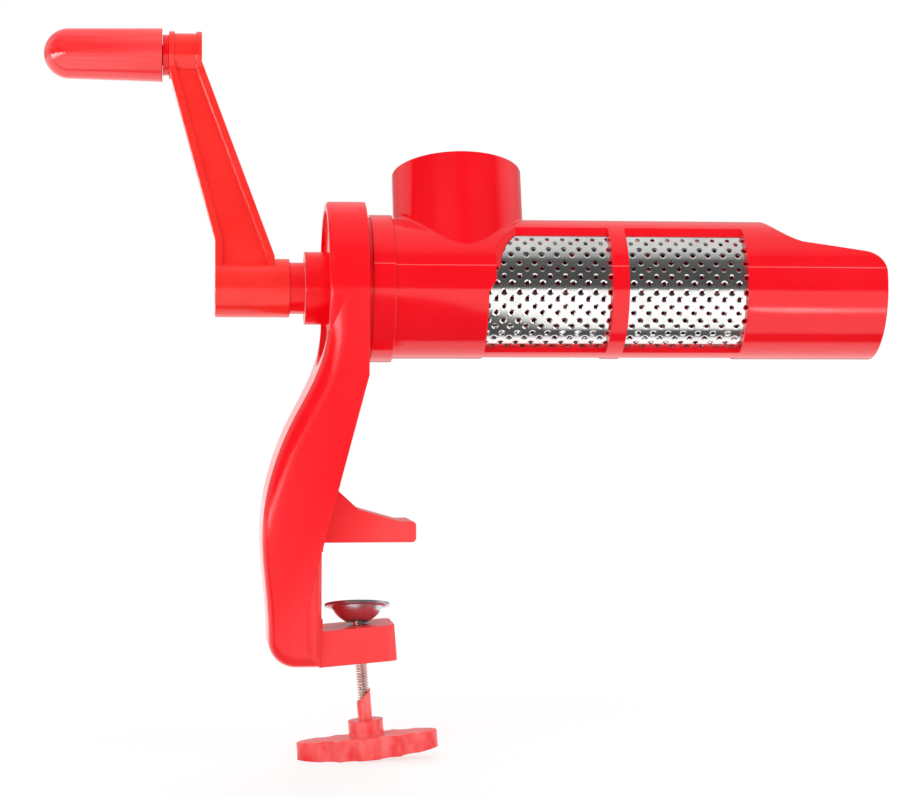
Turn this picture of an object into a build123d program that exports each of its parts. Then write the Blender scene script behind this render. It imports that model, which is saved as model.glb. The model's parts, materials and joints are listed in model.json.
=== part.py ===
"""Hand-crank screw juicer and strainer with a table clamp, as an assembly of separate pieces.

Millimetres. The origin is the centre of the upper jaw's underside, the face that rests on the table.
+X runs along the drive axis from the crank to the pulp chute, +Z is up.
"""
import os
from math import asin, atan, cos, radians, sin, tan

from build123d import *

# Drive axis and the lean of the barrel in its bayonet
axis_height = 120.2
barrel_lean = 17.0
running_clearance = 0.05
loose_clearance = 0.3

# Stand
head_radius = 41.3
head_back = -20.0
head_front = -1.5
head_rim = 4.3
head_edge_radius = 2.0
head_recess = 2.0
head_wall = 3.5
boss_radius = 17.3
boss_length = 9.9
chin_height = 78.6
stem_front = -22.0
stem_back = -50.4
stem_back_foot = -47.5
stem_bend_top = 107.0
stem_bend_end = 9.0
stem_bend_share = 0.535
stem_bend_bulge = 1.7
stem_bottom = -58.5
stem_foot_half_width = 23.0
stem_foot_radius = 13.0
stem_edge_radius = 8.0
stem_wall = 4.5
stem_rib = 3.0
stem_rib_setback = 2.5

# Jaws
jaw_tip = 22.0
jaw_half_width = 18.0
jaw_tip_height = 9.8
jaw_tip_radius = 2.0
jaw_gusset_height = 25.0
jaw_knee = (-5.0, 15.4)
jaw_slope_end = 14.5
lower_jaw_thickness = 16.8
lower_jaw_reach = 16.4
lower_jaw_corner = 4.0
lower_jaw_overlap = 3.0
pocket_floor = 4.0

# Clamp screw
screw_lean = 4.7
screw_x = -4.4
lower_jaw_top = -40.2
screw_diameter = 6.0
screw_neck_radius = 2.1
screw_head_radius = 4.0
screw_head_height = 1.6
screw_hole_radius = 4.0
nut_across_flats = 10.0
nut_height = 5.0

# Pad
pad_radius = 15.6
pad_bowl_radius = 12.4
pad_floor_radius = 5.0
pad_belly = (9.4, 3.1)
pad_depth = 7.0
pad_rim_rise = 0.6
pad_sheet = 1.2
pad_lift = 1.2
pad_swivel = 12.0

# Knob
knob_half_length = 33.8
knob_half_width = 13.0
knob_thickness = 8.2
knob_crown = 2.0
knob_notch_radius = 5.5
knob_notch_depth = 2.4
knob_notch_places = (9.3, 20.0)
knob_lobe_radius = 0.8
knob_edge_radius = 1.0
knob_hub_radius = 8.4
knob_hub_height = 7.6
knob_hub_drop = 45.6
knob_sleeve_radius = 3.45
knob_sleeve_height = 14.8
knob_sleeve_slope = 42.0
knob_socket_depth = 12.5

# Barrel
barrel_radius = 33.4
barrel_wall = 2.8
barrel_end = 246.3
collar_radius = 35.2
collar_back = 0.8
collar_front = 11.2
plug_radius = 34.0
plug_gap = 0.5
lug_count = 3
lug_height = 1.9
lug_width = 3.5
lug_angle = 34.0
lug_gap_angle = 40.0
lug_turn = -45.0
lip_width = 3.0
throat_x = 44.9
throat_radius = 31.4
throat_wall = 2.8
throat_height = 58.3
throat_fillet = 1.5
screen_stop = 186.4
screen_stop_width = 3.6
screen_stop_height = 3.1

# Windows
window_start = 54.8
window_start_upper = 58.4
window_corner = (69.2, 32.3)
window_top_y = 24.7
window_bottom_y = 4.0
window_step = -12.5
window_slant = -6.5
window_end = 178.6
rib_start = 113.4
rib_width = 8.0

# Pulp chute
chute_start = 190.0
chute_bend = (196.6, 21.6)
chute_shoulder = (207.0, 14.4)
chute_lip = (237.0, 9.0)
chute_corner = -1.0

# Strainer
strainer_start = 48.0
strainer_sheet = 0.6
strainer_hole_width = 1.9
strainer_rows = 20
strainer_columns = 11
strainer_margin = 6.0

# Auger
journal_radius = 12.2
flange_width = 3.2
flight_radius = 28.9
flight_thickness = 4.0
flight_pitch = 36.0
core_radius = 13.0
core_end_radius = 20.0
core_tip_radius = 6.0
flight_start = -6.0
flight_bury = 1.5
core_end = 195.0
tang_side = 15.0
tang_length = 23.0
washer_thickness = 1.5
washer_radius = 22.0
seal_width = 2.6
seal_depth = 2.0
seal_inset = 6.0
bush_wall = 2.2

# Crank
hub_radius = 13.9
hub_front = -37.1
hub_length = 35.0
crank_radius = 109.9
crank_boss_radius = 10.4
crank_cheek_radius = 11.3
crank_cheek_width = 2.6
crank_boss_back = -93.7
crank_boss_front = -78.3
arm_half_depth = 9.6
arm_flange = 3.4
arm_web = 13.0
arm_knee_height = 22.0
arm_toe_height = 14.8
arm_toe = -44.2
arm_neck_drop = 8.0
arm_shoulder_drop = 4.0
bolt_radius = 2.5
bolt_head_radius = 4.3
bolt_head_height = 3.2
bolt_socket_flats = 4.0
bolt_socket_depth = 1.9
bolt_recess_radius = 7.0
bolt_recess_depth = 8.0
crank_washer_radius = 6.6
crank_washer_thickness = 1.2
insert_radius = 4.2
insert_length = 12.0

# Grip
grip_radius = 12.6
grip_tip_radius = 11.8
grip_length = 55.2
grip_bore_length = 46.0
pin_radius = 5.0
pin_collar_radius = 9.6
pin_collar_width = 2.9
pin_bead_height = 0.8
pin_bead_width = 3.0
pin_bead_inset = 8.0

os.makedirs("parts", exist_ok=True)

# Shared places and planes
drive_axis = Axis((0, 0, axis_height), (1, 0, 0))
drive_section = Plane(origin=(0, 0, axis_height), x_dir=(1, 0, 0), z_dir=(0, -1, 0))
drive_end = Plane(origin=(0, 0, axis_height), x_dir=(0, 1, 0), z_dir=(1, 0, 0))

lean = radians(barrel_lean)
barrel_up = Vector(0, sin(lean), cos(lean))
barrel_far = Vector(0, cos(lean), -sin(lean))
barrel_plan = Plane(origin=(0, 0, axis_height), x_dir=(1, 0, 0), z_dir=barrel_up)
barrel_side = Plane(origin=(0, 0, axis_height), x_dir=(1, 0, 0), z_dir=-barrel_far)
barrel_section = Plane(origin=(0, 0, axis_height), x_dir=barrel_far, z_dir=(1, 0, 0))

tilt = radians(screw_lean)
screw_origin = Vector(screw_x, 0, lower_jaw_top)
screw_up = Vector(-sin(tilt), 0, cos(tilt))
screw_side = Vector(cos(tilt), 0, sin(tilt))
screw_plane = Plane(origin=screw_origin, x_dir=screw_side, z_dir=screw_up)
screw_section = Plane(origin=screw_origin, x_dir=screw_side, z_dir=(0, -1, 0))
screw_axis = Axis(screw_origin, screw_up)

# Fits that several pieces share
boss_back = head_back - boss_length
socket_radius = plug_radius + lug_height + loose_clearance
socket_back = head_back + head_recess + head_wall
lip_radius = plug_radius + loose_clearance
lip_back = head_front - lip_width
plug_back = socket_back + plug_gap
bore_radius = barrel_radius - barrel_wall
bush_radius = journal_radius + running_clearance + bush_wall
screw_radius = screw_diameter / 2 - running_clearance
crank_height = axis_height + crank_radius
hub_back = hub_front - hub_length
flange_back = socket_back + washer_thickness + loose_clearance
flange_front = flange_back + flange_width
tang_end = hub_front - tang_length
pin_collar_back = crank_boss_back - pin_collar_width
grip_front = pin_collar_back - loose_clearance
grip_back = grip_front - grip_length
rib_end = rib_start + rib_width
jaw_back = (stem_front + stem_back) / 2


def stem_curve(shift):
    """Ends and bend of the stem's S-shaped back, moved forwards by a wall thickness."""
    top = (head_back + shift, stem_bend_top)
    end = (stem_back + shift, stem_bend_end)
    run = end[0] - top[0]
    fall = end[1] - top[1]
    bend = (top[0] + stem_bend_share * run - stem_bend_bulge, top[1] + stem_bend_share * fall)
    return top, bend, end


def arch_half_angle():
    """Angle below the drive axis at which the stem's straight sides leave the round head."""
    drop = axis_height - stem_bottom
    reach = (stem_foot_half_width**2 + drop**2) ** 0.5
    return asin(head_radius / reach) - atan(stem_foot_half_width / drop)


def stem_half_width(height):
    """Half width of the stem at a height below the head."""
    angle = arch_half_angle()
    return stem_foot_half_width + (height - stem_bottom) * tan(angle)


# Stem pockets, open towards the table
with BuildPart() as stem_pockets:
    with BuildSketch(Plane.XZ) as pocket_side:
        top, bend, end = stem_curve(stem_wall)
        with BuildLine():
            upper = (stem_back + stem_wall, jaw_gusset_height)
            Polyline((0, chin_height - stem_wall), (0, jaw_gusset_height), upper)
            Line(upper, (bend[0], bend[1] - stem_wall))
            Polyline(
                (bend[0], bend[1] - stem_wall),
                (top[0], chin_height - stem_wall),
                (0, chin_height - stem_wall),
            )
        make_face()
        with BuildLine():
            Polyline(
                (0, -pocket_floor),
                (stem_back + stem_wall, -pocket_floor),
                (stem_back_foot + stem_wall, lower_jaw_top + pocket_floor),
                (0, lower_jaw_top + pocket_floor),
                close=True,
            )
        make_face()
    extrude(amount=head_radius, both=True)
    with BuildSketch(Plane.YZ) as pocket_front:
        foot = stem_half_width(stem_bottom) - stem_wall
        crown = stem_half_width(chin_height) - stem_wall
        with BuildLine():
            Polyline(
                (-foot, stem_bottom),
                (foot, stem_bottom),
                (crown, chin_height),
                (-crown, chin_height),
                close=True,
            )
        make_face()
    extrude(amount=-stem_back * 2, both=True, mode=Mode.INTERSECT)
    with BuildSketch(Plane.XZ) as pocket_rib:
        with BuildLine():
            Polyline(
                (stem_back, stem_bottom),
                (stem_front - stem_rib_setback, stem_bottom),
                (stem_front - stem_rib_setback, 0),
                (head_front - stem_rib_setback, chin_height),
                (stem_back, chin_height),
                close=True,
            )
        make_face()
    extrude(amount=stem_rib / 2, both=True, mode=Mode.SUBTRACT)

# Disc of the head, with a small round on its back rim
with BuildPart() as head_disc:
    with BuildSketch(drive_end.offset(head_back)):
        Circle(head_radius)
    extrude(amount=head_front - head_back)
    fillet(head_disc.edges().group_by(Axis.X)[0], head_edge_radius)

# Stand: head, stem and both jaws in one moulding
with BuildPart() as stand:
    with BuildSketch(Plane.XZ) as stand_side:
        top, bend, end = stem_curve(0)
        crown = axis_height + head_radius + head_rim
        foot = (stem_back_foot, stem_bottom + stem_foot_radius)
        toe = (stem_back_foot + stem_foot_radius, stem_bottom)
        with BuildLine():
            spine = Spline(top, bend, end, foot, tangents=((0, -1), (0, -1)))
            TangentArc(foot, toe, tangent=spine % 1)
            Polyline(
                toe,
                (stem_front, stem_bottom),
                (stem_front, 0),
                (head_front, chin_height),
                (head_front, crown),
                (head_back, crown),
                top,
            )
        make_face()
    extrude(amount=head_radius, both=True)
    with BuildSketch(Plane.YZ) as stand_front:
        angle = arch_half_angle()
        side = (head_radius * cos(angle), axis_height - head_radius * sin(angle))
        with BuildLine():
            ThreePointArc(side, (0, axis_height + head_radius), (-side[0], side[1]))
            Polyline(
                (-side[0], side[1]),
                (-stem_foot_half_width, stem_bottom),
                (stem_foot_half_width, stem_bottom),
                side,
            )
        make_face()
    extrude(amount=-stem_back * 2, both=True, mode=Mode.INTERSECT)
    back_edges = stand.edges().filter_by(
        lambda edge: edge.center().X < head_back + running_clearance
        and edge.bounding_box().size.X + edge.bounding_box().size.Z > stem_edge_radius
    )
    fillet(back_edges, stem_edge_radius)
    add(head_disc.part)
    add(stem_pockets.part, mode=Mode.SUBTRACT)
    # Recess in the back of the head, then the bearing boss in its middle
    with BuildSketch(drive_end.offset(stem_back)):
        Circle(head_radius - head_rim)
    extrude(amount=head_back + head_recess - stem_back, mode=Mode.SUBTRACT)
    with BuildSketch(drive_end.offset(boss_back)):
        Circle(boss_radius)
    extrude(amount=socket_back - boss_back)
    # Socket for the barrel, with a bayonet lip at its mouth
    with BuildSketch(drive_end.offset(socket_back)):
        Circle(socket_radius)
    extrude(amount=lip_back - socket_back, mode=Mode.SUBTRACT)
    with BuildSketch(barrel_section.offset(lip_back)):
        Circle(lip_radius)
        with PolarLocations(0, lug_count, start_angle=90 + lug_turn):
            reach = socket_radius * 2
            half = reach * tan(radians(lug_gap_angle / 2))
            Polygon((0, 0), (reach, -half), (reach, half), align=None)
        Circle(socket_radius, mode=Mode.INTERSECT)
    extrude(amount=lip_width, mode=Mode.SUBTRACT)
    with BuildSketch(drive_end.offset(boss_back)):
        Circle(bush_radius)
    extrude(amount=socket_back - boss_back, mode=Mode.SUBTRACT)
    # Upper jaw
    with BuildSketch(Plane.XZ) as upper_jaw:
        gusset_x = stem_front + (head_front - stem_front) * jaw_gusset_height / chin_height
        with BuildLine():
            Polyline(
                (jaw_back, 0),
                (jaw_tip, 0),
                (jaw_tip, jaw_tip_height),
                (jaw_slope_end, jaw_tip_height),
                jaw_knee,
                (gusset_x, jaw_gusset_height),
                (jaw_back, jaw_gusset_height),
                close=True,
            )
        make_face()
        fillet(upper_jaw.vertices().group_by(Axis.X)[-1], jaw_tip_radius)
    extrude(amount=jaw_half_width, both=True)
    # Lower jaw, square to the clamp screw, with the screw's hole and the nut's pocket
    with BuildSketch(screw_plane) as lower_jaw:
        jaw_root = (screw_x - stem_front) / cos(tilt) + lower_jaw_overlap
        with Locations(((lower_jaw_reach - jaw_root) / 2, 0)):
            Rectangle(lower_jaw_reach + jaw_root, 2 * jaw_half_width)
        fillet(lower_jaw.vertices().group_by(Axis.X)[-1], lower_jaw_corner)
    extrude(amount=-lower_jaw_thickness)
    with BuildSketch(screw_plane):
        Circle(screw_hole_radius)
    extrude(amount=-lower_jaw_thickness * 2, mode=Mode.SUBTRACT)
    with BuildSketch(screw_plane):
        RegularPolygon(nut_across_flats / 2, 6, major_radius=False)
    extrude(amount=-nut_height, mode=Mode.SUBTRACT)
stand.part.label = "stand"
export_step(stand.part, "parts/stand.step")

# Bearing bush pressed in the boss
with BuildPart() as shaft_bush:
    with BuildSketch(drive_end.offset(boss_back)):
        Circle(bush_radius)
        Circle(journal_radius + running_clearance, mode=Mode.SUBTRACT)
    extrude(amount=socket_back - boss_back)
shaft_bush.part.label = "shaft_bush"
export_step(shaft_bush.part, "parts/shaft_bush.step")

# Captive nut in the lower jaw
with BuildPart() as jaw_nut:
    with BuildSketch(screw_plane):
        RegularPolygon(nut_across_flats / 2, 6, major_radius=False)
        Circle(screw_radius + running_clearance, mode=Mode.SUBTRACT)
    extrude(amount=-nut_height)
jaw_nut.part.label = "jaw_nut"
export_step(jaw_nut.part, "parts/jaw_nut.step")

# Barrel with its feed throat, windows and pulp chute
with BuildPart() as barrel:
    with BuildSketch(barrel_section.offset(collar_front)):
        Circle(barrel_radius)
    extrude(amount=barrel_end - collar_front)
    with BuildSketch(barrel_section.offset(collar_back)):
        Circle(collar_radius)
    extrude(amount=collar_front - collar_back)
    with BuildSketch(barrel_plan):
        with Locations((throat_x, 0)):
            Circle(throat_radius)
    extrude(amount=throat_height)
    saddle = barrel.edges(Select.LAST).filter_by(GeomType.BSPLINE)
    fillet(saddle, throat_fillet)
    with BuildSketch(barrel_section.offset(plug_back)):
        Circle(plug_radius)
    extrude(amount=collar_back - plug_back)
    # Bayonet lugs
    with BuildSketch(barrel_section.offset(lip_back - loose_clearance - lug_width)):
        Circle(plug_radius + lug_height)
        with PolarLocations(0, lug_count, start_angle=90 + 180 / lug_count):
            reach = plug_radius * 2
            half = reach * tan(radians((360 / lug_count - lug_angle) / 2))
            Polygon((0, 0), (reach, -half), (reach, half), align=None, mode=Mode.SUBTRACT)
    extrude(amount=lug_width)
    # Bore, with the ring that the strainer stops against, and the throat's own bore
    with BuildSketch(barrel_section.offset(plug_back)):
        Circle(bore_radius)
    extrude(amount=screen_stop - plug_back, mode=Mode.SUBTRACT)
    with BuildSketch(barrel_section.offset(screen_stop)):
        Circle(bore_radius - screen_stop_height)
    extrude(amount=screen_stop_width, mode=Mode.SUBTRACT)
    with BuildSketch(barrel_section.offset(screen_stop + screen_stop_width)):
        Circle(bore_radius)
    extrude(amount=barrel_end - screen_stop - screen_stop_width, mode=Mode.SUBTRACT)
    with BuildSketch(barrel_plan):
        with Locations((throat_x, 0)):
            Circle(throat_radius - throat_wall)
    extrude(amount=throat_height, mode=Mode.SUBTRACT)
    # Windows: their edges run along the throat, as the mould's halves part that way
    outside = head_radius
    with BuildSketch(barrel_plan) as window_upper:
        with BuildLine():
            Polyline(
                (window_start_upper, outside),
                (window_start_upper, window_corner[1]),
                (window_corner[0], window_top_y),
                (rib_start, window_top_y),
                (rib_start, outside),
                close=True,
            )
        make_face()
        with Locations(((rib_end + window_end) / 2, (outside + window_top_y) / 2)):
            Rectangle(window_end - rib_end, outside - window_top_y)
        mirror(about=Plane.XZ)
    extrude(amount=outside, mode=Mode.SUBTRACT)
    with BuildSketch(barrel_plan) as window_middle:
        for start, end in ((window_start_upper, rib_start), (rib_end, window_end)):
            with Locations(((start + end) / 2, (outside + window_top_y) / 2)):
                Rectangle(end - start, outside - window_top_y)
        mirror(about=Plane.XZ)
    extrude(amount=window_step, mode=Mode.SUBTRACT)
    with BuildSketch(barrel_plan.offset(window_step)) as window_lower:
        for start, end in ((window_start, rib_start), (rib_end, window_end)):
            with Locations(((start + end) / 2, (outside + window_bottom_y) / 2)):
                Rectangle(end - start, outside - window_bottom_y)
        mirror(about=Plane.XZ)
    extrude(amount=-outside, mode=Mode.SUBTRACT)
    with BuildSketch(barrel_side.offset(window_top_y)) as window_slope:
        with BuildLine():
            Polyline(
                (window_start_upper, window_slant),
                (window_start, window_step),
                (window_start_upper, window_step),
                close=True,
            )
        make_face()
    slope = extrude(amount=outside - window_top_y, mode=Mode.SUBTRACT)
    mirror(slope, about=barrel_side, mode=Mode.SUBTRACT)
    # Chute: the barrel's upper part is cut away towards its end
    with BuildSketch(barrel_side) as chute:
        with BuildLine():
            ThreePointArc((chute_start, barrel_radius), chute_bend, chute_shoulder)
            Line(chute_shoulder, chute_lip)
            fall = (chute_lip[1] - chute_shoulder[1]) / (chute_lip[0] - chute_shoulder[0])
            TangentArc(chute_lip, (barrel_end, chute_corner), tangent=(1, fall))
            Polyline(
                (barrel_end, chute_corner),
                (barrel_end + barrel_wall, chute_corner),
                (barrel_end + barrel_wall, outside),
                (chute_start, outside),
                (chute_start, barrel_radius),
            )
        make_face()
    extrude(amount=outside, both=True, mode=Mode.SUBTRACT)
barrel.part.label = "barrel"
export_step(barrel.part, "parts/barrel.step")

# Strainer: a perforated sleeve behind the windows, cut away under the throat
strainer_radius = bore_radius - running_clearance
strainer_end = screen_stop - running_clearance
with BuildPart() as strainer:
    with BuildSketch(barrel_section.offset(strainer_start)):
        Circle(strainer_radius)
        Circle(strainer_radius - strainer_sheet, mode=Mode.SUBTRACT)
    extrude(amount=strainer_end - strainer_start)
    with BuildSketch(barrel_plan):
        with Locations((throat_x, 0)):
            Circle(throat_radius - throat_wall)
    extrude(amount=throat_height, mode=Mode.SUBTRACT)
    first_hole = window_start + strainer_margin
    hole_pitch = (screen_stop - strainer_margin - first_hole) / (strainer_columns - 0.5)
    holes = []
    for row in range(strainer_rows):
        turn = radians(360 * (row + 0.5) / strainer_rows)
        outward = barrel_far * cos(turn) + barrel_up * sin(turn)
        row_plane = Plane(origin=(0, 0, axis_height), x_dir=(1, 0, 0), z_dir=outward)
        stagger = hole_pitch / 2 * (row % 2)
        clear_of_throat = throat_x + throat_radius if sin(turn) > 0 else 0
        places = [first_hole + stagger + hole_pitch * i for i in range(strainer_columns)]
        places = [place for place in places if place > clear_of_throat]
        with BuildSketch(row_plane.offset(core_end_radius)) as hole_row:
            with Locations(*[(place, 0) for place in places]):
                Rectangle(strainer_hole_width, strainer_hole_width)
        depth = barrel_radius - core_end_radius
        holes += extrude(hole_row.sketch, amount=depth, mode=Mode.PRIVATE).solids()
    add(holes, mode=Mode.SUBTRACT)
strainer.part.label = "strainer"
export_step(strainer.part, "parts/strainer.step")

# Thrust washer between the auger's flange and the head
with BuildPart() as thrust_washer:
    with BuildSketch(drive_end.offset(socket_back)):
        Circle(washer_radius)
        Circle(journal_radius + loose_clearance, mode=Mode.SUBTRACT)
    extrude(amount=washer_thickness)
thrust_washer.part.label = "thrust_washer"
export_step(thrust_washer.part, "parts/thrust_washer.step")

# Auger: journal, flange, swelling core and helical flight
seal_front = head_back + seal_inset
with BuildPart() as auger:
    with BuildSketch(drive_section) as auger_profile:
        with BuildLine():
            Polyline(
                (hub_front, 0),
                (hub_front, journal_radius),
                (seal_front - seal_width, journal_radius),
                (seal_front - seal_width, journal_radius - seal_depth),
                (seal_front, journal_radius - seal_depth),
                (seal_front, journal_radius),
                (flange_back, journal_radius),
                (flange_back, flight_radius),
                (flange_front, flight_radius),
                (flange_front, core_radius),
                (screen_stop, core_end_radius),
                (core_end, core_tip_radius),
                (core_end, 0),
                close=True,
            )
        make_face()
    revolve(axis=drive_axis)
    with BuildLine() as flight_path:
        Helix(
            pitch=flight_pitch,
            height=screen_stop - flight_thickness - flight_start,
            radius=core_end_radius,
            center=(flight_start, 0, axis_height),
            direction=(1, 0, 0),
            lefthand=True,
        )
    path = flight_path.line
    start = path @ 0
    radial = Vector(0, start.Y, start.Z - axis_height).normalized()
    flight_root = core_radius - flight_bury
    with BuildSketch(Plane(origin=start, x_dir=radial, z_dir=path % 0)):
        with Locations(((flight_radius + flight_root) / 2 - core_end_radius, 0)):
            Rectangle(flight_radius - flight_root, flight_thickness)
    sweep(path=path, is_frenet=True)
    with BuildSketch(drive_end.offset(tang_end)):
        Rectangle(tang_side, tang_side)
    extrude(amount=tang_length)
    with BuildSketch(drive_end.offset(tang_end)):
        Circle(insert_radius)
    extrude(amount=insert_length, mode=Mode.SUBTRACT)
auger.part.label = "auger"
export_step(auger.part, "parts/auger.step")

# Seal ring in the journal's groove
with BuildPart() as shaft_seal:
    with BuildSketch(drive_end.offset(seal_front - seal_width)):
        Circle(journal_radius + running_clearance / 2)
        Circle(journal_radius - seal_depth, mode=Mode.SUBTRACT)
    extrude(amount=seal_width)
shaft_seal.part.label = "shaft_seal"
export_step(shaft_seal.part, "parts/shaft_seal.step")

# Threaded insert in the auger's tang
with BuildPart() as shaft_insert:
    with BuildSketch(drive_end.offset(tang_end)):
        Circle(insert_radius)
        Circle(bolt_radius, mode=Mode.SUBTRACT)
    extrude(amount=insert_length)
shaft_insert.part.label = "shaft_insert"
export_step(shaft_insert.part, "parts/shaft_insert.step")

# Crank arm: hub, channelled arm and boss
hub_socket_end = tang_end - loose_clearance
with BuildPart() as crank_arm:
    with BuildSketch(drive_section) as arm_outline:
        with BuildLine():
            Polyline(
                (hub_back, 0),
                (hub_back, arm_knee_height),
                (crank_boss_back, crank_radius - arm_neck_drop),
                (crank_boss_back, crank_radius),
                (crank_boss_front, crank_radius),
                (crank_boss_front, crank_radius - arm_shoulder_drop),
                (arm_toe, arm_toe_height),
                (arm_toe, 0),
                close=True,
            )
        make_face()
    extrude(amount=arm_half_depth, both=True)
    with BuildSketch(drive_section.offset(arm_web / 2)) as arm_pocket:
        add(arm_outline.sketch_local)
        offset(amount=-arm_flange, kind=Kind.INTERSECTION, mode=Mode.REPLACE)
    extrude(amount=arm_half_depth, mode=Mode.SUBTRACT)
    mirror(about=Plane.XZ, mode=Mode.INTERSECT)
    with BuildSketch(drive_end.offset(hub_back)):
        Circle(hub_radius)
    extrude(amount=hub_length)
    with BuildSketch(drive_end.offset(crank_boss_back)):
        with Locations((0, crank_radius)):
            Circle(crank_boss_radius)
    extrude(amount=crank_boss_front - crank_boss_back)
    for cheek in (crank_boss_back, crank_boss_front - crank_cheek_width):
        with BuildSketch(drive_end.offset(cheek)):
            with Locations((0, crank_radius)):
                Circle(crank_cheek_radius)
        extrude(amount=crank_cheek_width)
    # Socket for the auger's tang, bolt hole and bolt recess, and the grip pin's hole
    with BuildSketch(drive_end.offset(hub_socket_end)):
        Rectangle(tang_side + 2 * running_clearance, tang_side + 2 * running_clearance)
    extrude(amount=hub_front - hub_socket_end, mode=Mode.SUBTRACT)
    with BuildSketch(drive_end.offset(hub_back)):
        Circle(bolt_radius + running_clearance)
    extrude(amount=hub_length, mode=Mode.SUBTRACT)
    with BuildSketch(drive_end.offset(hub_back)):
        Circle(bolt_recess_radius)
    extrude(amount=bolt_recess_depth, mode=Mode.SUBTRACT)
    with BuildSketch(drive_end.offset(crank_boss_back)):
        with Locations((0, crank_radius)):
            Circle(pin_radius + running_clearance)
    extrude(amount=crank_boss_front - crank_boss_back, mode=Mode.SUBTRACT)
crank_arm.part.label = "crank_arm"
export_step(crank_arm.part, "parts/crank_arm.step")

# Washer and bolt that hold the crank on the auger
recess_floor = hub_back + bolt_recess_depth
with BuildPart() as crank_washer:
    with BuildSketch(drive_end.offset(recess_floor - crank_washer_thickness)):
        Circle(crank_washer_radius)
        Circle(bolt_radius + running_clearance, mode=Mode.SUBTRACT)
    extrude(amount=crank_washer_thickness)
crank_washer.part.label = "crank_washer"
export_step(crank_washer.part, "parts/crank_washer.step")

head_seat = recess_floor - crank_washer_thickness
with BuildPart() as crank_bolt:
    with BuildSketch(drive_end.offset(head_seat - bolt_head_height)):
        Circle(bolt_head_radius)
    extrude(amount=bolt_head_height)
    with BuildSketch(drive_end.offset(head_seat - bolt_head_height)):
        RegularPolygon(bolt_socket_flats / 2, 6, major_radius=False)
    extrude(amount=bolt_socket_depth, mode=Mode.SUBTRACT)
    with BuildSketch(drive_end.offset(head_seat)):
        Circle(bolt_radius)
    extrude(amount=tang_end + insert_length - loose_clearance - head_seat)
crank_bolt.part.label = "crank_bolt"
export_step(crank_bolt.part, "parts/crank_bolt.step")

# Grip pin with its collar and snap bead
grip_axis = Axis((0, 0, crank_height), (1, 0, 0))
grip_section = Plane(origin=(0, 0, crank_height), x_dir=(1, 0, 0), z_dir=(0, -1, 0))
pin_end = grip_front - grip_bore_length + loose_clearance
bead_end = pin_end + pin_bead_inset
with BuildPart() as grip_pin:
    with BuildSketch(grip_section):
        with BuildLine():
            Polyline(
                (pin_end, 0),
                (pin_end, pin_radius),
                (bead_end, pin_radius),
                (bead_end + pin_bead_width / 2, pin_radius + pin_bead_height),
                (bead_end + pin_bead_width, pin_radius),
                (pin_collar_back, pin_radius),
                (pin_collar_back, pin_collar_radius),
                (crank_boss_back, pin_collar_radius),
                (crank_boss_back, pin_radius),
                (crank_boss_front, pin_radius),
                (crank_boss_front, 0),
                close=True,
            )
        make_face()
    revolve(axis=grip_axis)
grip_pin.part.label = "grip_pin"
export_step(grip_pin.part, "parts/grip_pin.step")

# Grip, free to turn on the pin, its bore grooved for the bead
grip_bore = pin_radius + running_clearance
groove_end = bead_end - loose_clearance
groove_start = bead_end + pin_bead_width + loose_clearance
with BuildPart() as grip:
    with BuildSketch(grip_section):
        with BuildLine():
            shoulder = grip_back + grip_tip_radius
            rise = grip_tip_radius * sin(radians(45))
            dome = (shoulder - rise, rise)
            Line((grip_front, grip_bore), (grip_front, grip_radius))
            Line((grip_front, grip_radius), (shoulder, grip_tip_radius))
            ThreePointArc((shoulder, grip_tip_radius), dome, (grip_back, 0))
            Polyline(
                (grip_back, 0),
                (grip_front - grip_bore_length, 0),
                (grip_front - grip_bore_length, grip_bore),
                (groove_end, grip_bore),
                ((groove_end + groove_start) / 2, grip_bore + pin_bead_height),
                (groove_start, grip_bore),
                (grip_front, grip_bore),
            )
        make_face()
    revolve(axis=grip_axis)
grip.part.label = "grip"
export_step(grip.part, "parts/grip.step")

# Pad: dished steel cup on the screw's neck, swivelled a little as it hangs
pad_origin = screw_origin + screw_up * pad_lift
pad_turn = radians(pad_swivel)
pad_up = Vector(0, sin(pad_turn), cos(pad_turn))
pad_section = Plane(origin=pad_origin, x_dir=(1, 0, 0), z_dir=(0, -cos(pad_turn), sin(pad_turn)))
pad_hole_radius = screw_neck_radius + loose_clearance + pad_sheet * tan(pad_turn)
with BuildPart() as clamp_pad:
    with BuildSketch(pad_section):
        with BuildLine():
            brim = (pad_bowl_radius, pad_depth)
            Line((pad_hole_radius, 0), (pad_floor_radius, 0))
            ThreePointArc((pad_floor_radius, 0), pad_belly, brim)
            Line(brim, (pad_radius, pad_depth + pad_rim_rise))
            offset(amount=pad_sheet, side=Side.LEFT)
        make_face()
    revolve(axis=Axis(pad_origin, pad_up))
clamp_pad.part.label = "clamp_pad"
export_step(clamp_pad.part, "parts/clamp_pad.step")

# Clamp screw: shank, neck through the pad and riveted head in the cup
neck_start = pad_lift - loose_clearance - pad_floor_radius * tan(pad_turn)
head_start = pad_lift + pad_sheet + loose_clearance + pad_floor_radius * tan(pad_turn)
knob_top = -knob_hub_drop
screw_bottom = knob_top - knob_socket_depth
with BuildPart() as clamp_screw:
    with BuildSketch(screw_section):
        with BuildLine():
            Polyline(
                (0, screw_bottom),
                (screw_radius, screw_bottom),
                (screw_radius, neck_start),
                (screw_neck_radius, neck_start),
                (screw_neck_radius, head_start),
                (screw_head_radius, head_start),
                (screw_head_radius, head_start + screw_head_height / 2),
                (screw_neck_radius, head_start + screw_head_height),
                (0, head_start + screw_head_height),
                close=True,
            )
        make_face()
    revolve(axis=screw_axis)
clamp_screw.part.label = "clamp_screw"
export_step(clamp_screw.part, "parts/clamp_screw.step")

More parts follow.
